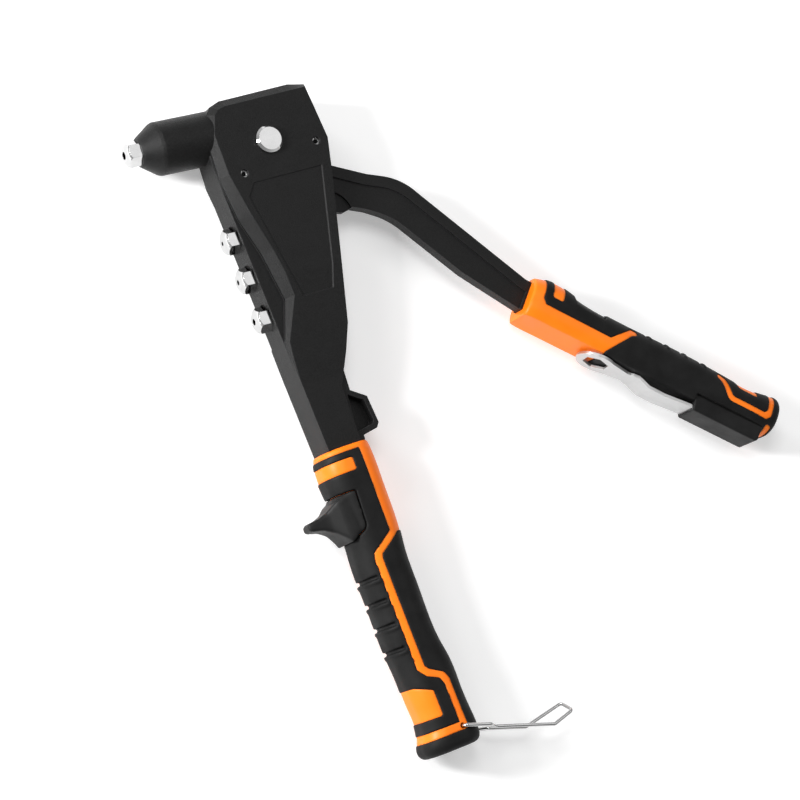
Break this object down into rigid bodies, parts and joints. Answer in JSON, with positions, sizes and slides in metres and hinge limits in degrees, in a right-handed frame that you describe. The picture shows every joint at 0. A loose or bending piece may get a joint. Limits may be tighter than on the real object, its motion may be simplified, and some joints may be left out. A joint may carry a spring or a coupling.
{
  "type": "hand riveter",
  "caption": "Two-handle blind riveter: lever-driven jaws in a barrel, spare nosepieces on the body, wrench in a holster and a wire latch.",
  "frame": {"origin": "centre of the fitted nosepiece's front face, where the rivet's mandrel goes in", "axes": "+X back along the barrel, -X out of the nose; the fixed handle hangs toward -Y; +Z toward the pivot pin's head. The tool lies on the side away from the pin's head."},
  "size_m": [0.2488, 0.2757, 0.0267],
  "materials": {
    "black_casting": "textured black coat over a die casting",
    "black_lever": "textured black coat over steel",
    "orange_plastic": "satin",
    "black_rubber": "matt soft-touch",
    "black_plastic": "fine satin",
    "bright_chrome": "polished",
    "plain_steel": "satin, lightly brushed",
    "hardened_steel": "ground, oiled",
    "bronze": "sintered, oiled"
  },
  "bodies": {
    "body": {"body_casting": "black_casting", "pivot_pin": "bright_chrome", "pivot_washer": "plain_steel", "pivot_clip": "plain_steel", "front_roll_pin": "hardened_steel", "rear_roll_pin": "hardened_steel", "nosepiece_fitted": "bright_chrome", "nosepiece_spare_small": "bright_chrome", "nosepiece_spare_medium": "bright_chrome", "nosepiece_spare_large": "bright_chrome", "fixed_grip_core": "orange_plastic", "fixed_grip_overmould": "black_rubber", "finger_guard": "black_plastic"},
    "lever": {"lever_arm": "black_lever", "lever_bush": "bronze", "moving_grip_core": "orange_plastic", "moving_grip_overmould": "black_rubber", "grip_pad": "black_plastic", "wrench_holster": "black_plastic"},
    "jaw_case": {"jaw_case": "hardened_steel", "jaw_case_tail": "hardened_steel", "jaw_spring": "hardened_steel"},
    "jaw_upper": {"jaw_upper": "hardened_steel"},
    "jaw_lower": {"jaw_lower": "hardened_steel"},
    "jaw_pusher": {"jaw_pusher": "hardened_steel"},
    "wrench": {"wrench": "plain_steel"},
    "bail": {"bail": "bright_chrome"}
  },
  "joints": [
    {"name": "lever_pivot", "type": "hinge", "parent": "body", "child": "lever", "pos_m": [0.0566, -0.008, 0], "axis": [0, 0, 1], "range_deg": [-38, 0]},
    {"name": "jaw_case_slide", "type": "slide", "parent": "body", "child": "jaw_case", "axis": [1, 0, 0], "range_m": [0, 0.0055]},
    {"name": "jaw_upper_slide", "type": "slide", "parent": "jaw_case", "child": "jaw_upper", "axis": [-0.9781, -0.2079, 0], "range_m": [0, 0.001]},
    {"name": "jaw_lower_slide", "type": "slide", "parent": "jaw_case", "child": "jaw_lower", "axis": [-0.9781, 0.2079, 0], "range_m": [0, 0.001]},
    {"name": "jaw_pusher_slide", "type": "slide", "parent": "jaw_case", "child": "jaw_pusher", "axis": [-1, 0, 0], "range_m": [0, 0.001], "deforming": ["jaw_spring"]},
    {"name": "wrench_slide", "type": "slide", "parent": "lever", "child": "wrench", "axis": [-0.7771, 0.6293, 0], "range_m": [0, 0.028]},
    {"name": "bail_pivot", "type": "hinge", "parent": "body", "child": "bail", "pos_m": [0.06173, -0.25134, 0], "axis": [0, 0, 1], "range_deg": [-60, 2]}
  ],
  "couplings": [
    {"joint": "jaw_case_slide", "follows": "lever_pivot", "m_per_rad": -0.00743},
    {"joint": "jaw_upper_slide", "follows": "lever_pivot", "m_per_rad": -0.0012},
    {"joint": "jaw_lower_slide", "follows": "lever_pivot", "m_per_rad": -0.0012},
    {"joint": "jaw_pusher_slide", "follows": "lever_pivot", "m_per_rad": -0.0012}
  ]
}
